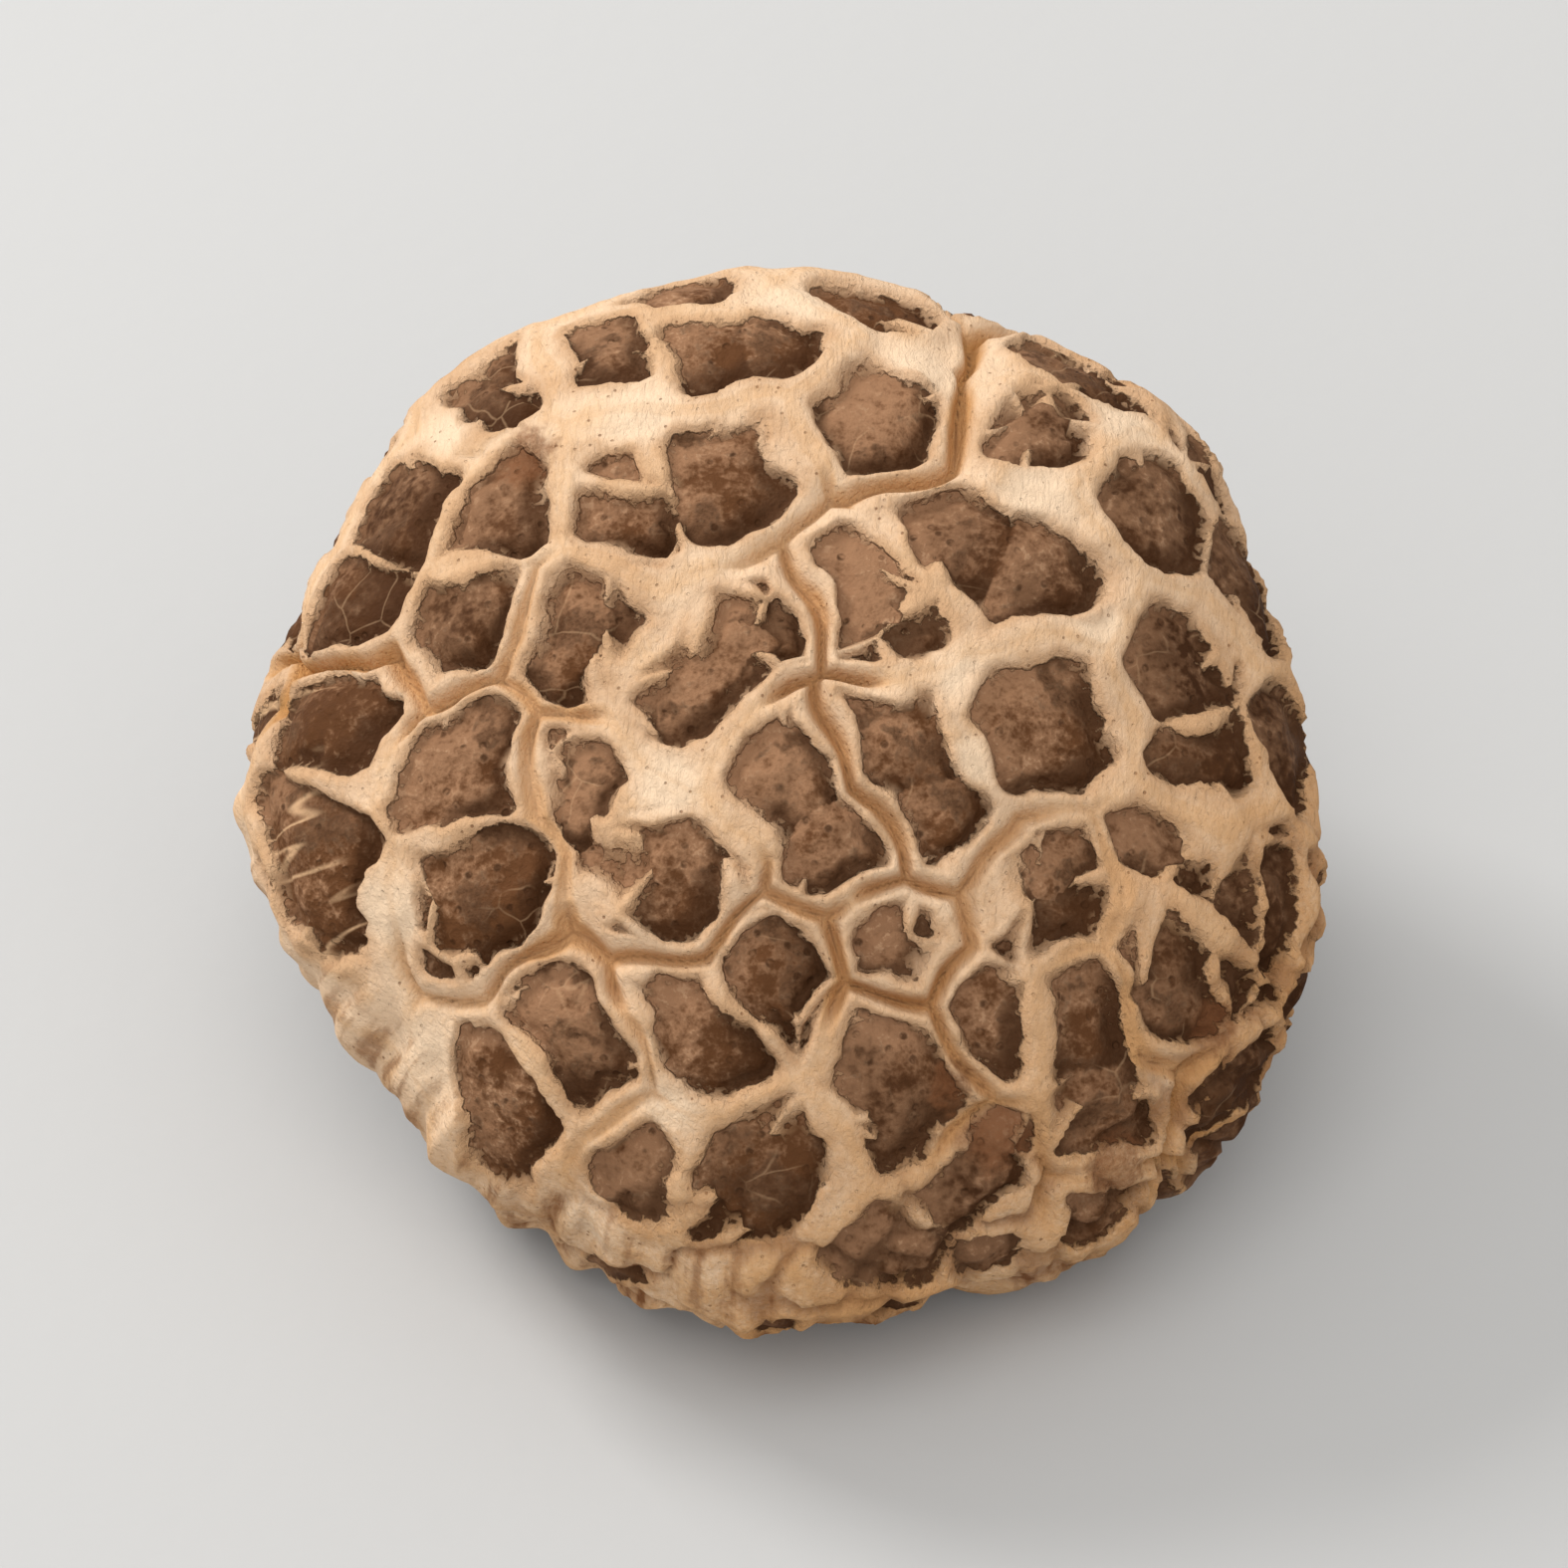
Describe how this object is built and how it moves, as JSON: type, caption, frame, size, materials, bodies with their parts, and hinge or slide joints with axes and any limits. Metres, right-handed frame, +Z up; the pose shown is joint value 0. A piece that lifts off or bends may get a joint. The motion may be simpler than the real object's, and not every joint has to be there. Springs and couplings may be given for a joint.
{
  "type": "dried shiitake mushroom with a white-cracked cap",
  "caption": "Whole dried shiitake: domed cap with dark skin cracked into plates over pale flesh, rolled-in rim, gills and a short cut stem; lies on its rim and stem.",
  "frame": {"origin": "middle of the box on the surface that the mushroom lies on", "axes": "+Z up; the cap leans 26 degrees over towards -Y, so its face looks up and towards -Y; +X to the right seen from the front"},
  "size_m": [0.0458, 0.0438, 0.0287],
  "materials": {
    "skin": "dry, dark brown leathery skin split into plates over cream flesh, matt",
    "gill": "thin dry amber blades, faint sheen",
    "stem": "fibrous tan sides with brown scales, cream cut face, matt"
  },
  "bodies": {
    "root": {"cap": "skin", "gills": "gill", "stem": "stem"}
  },
  "joints": []
}
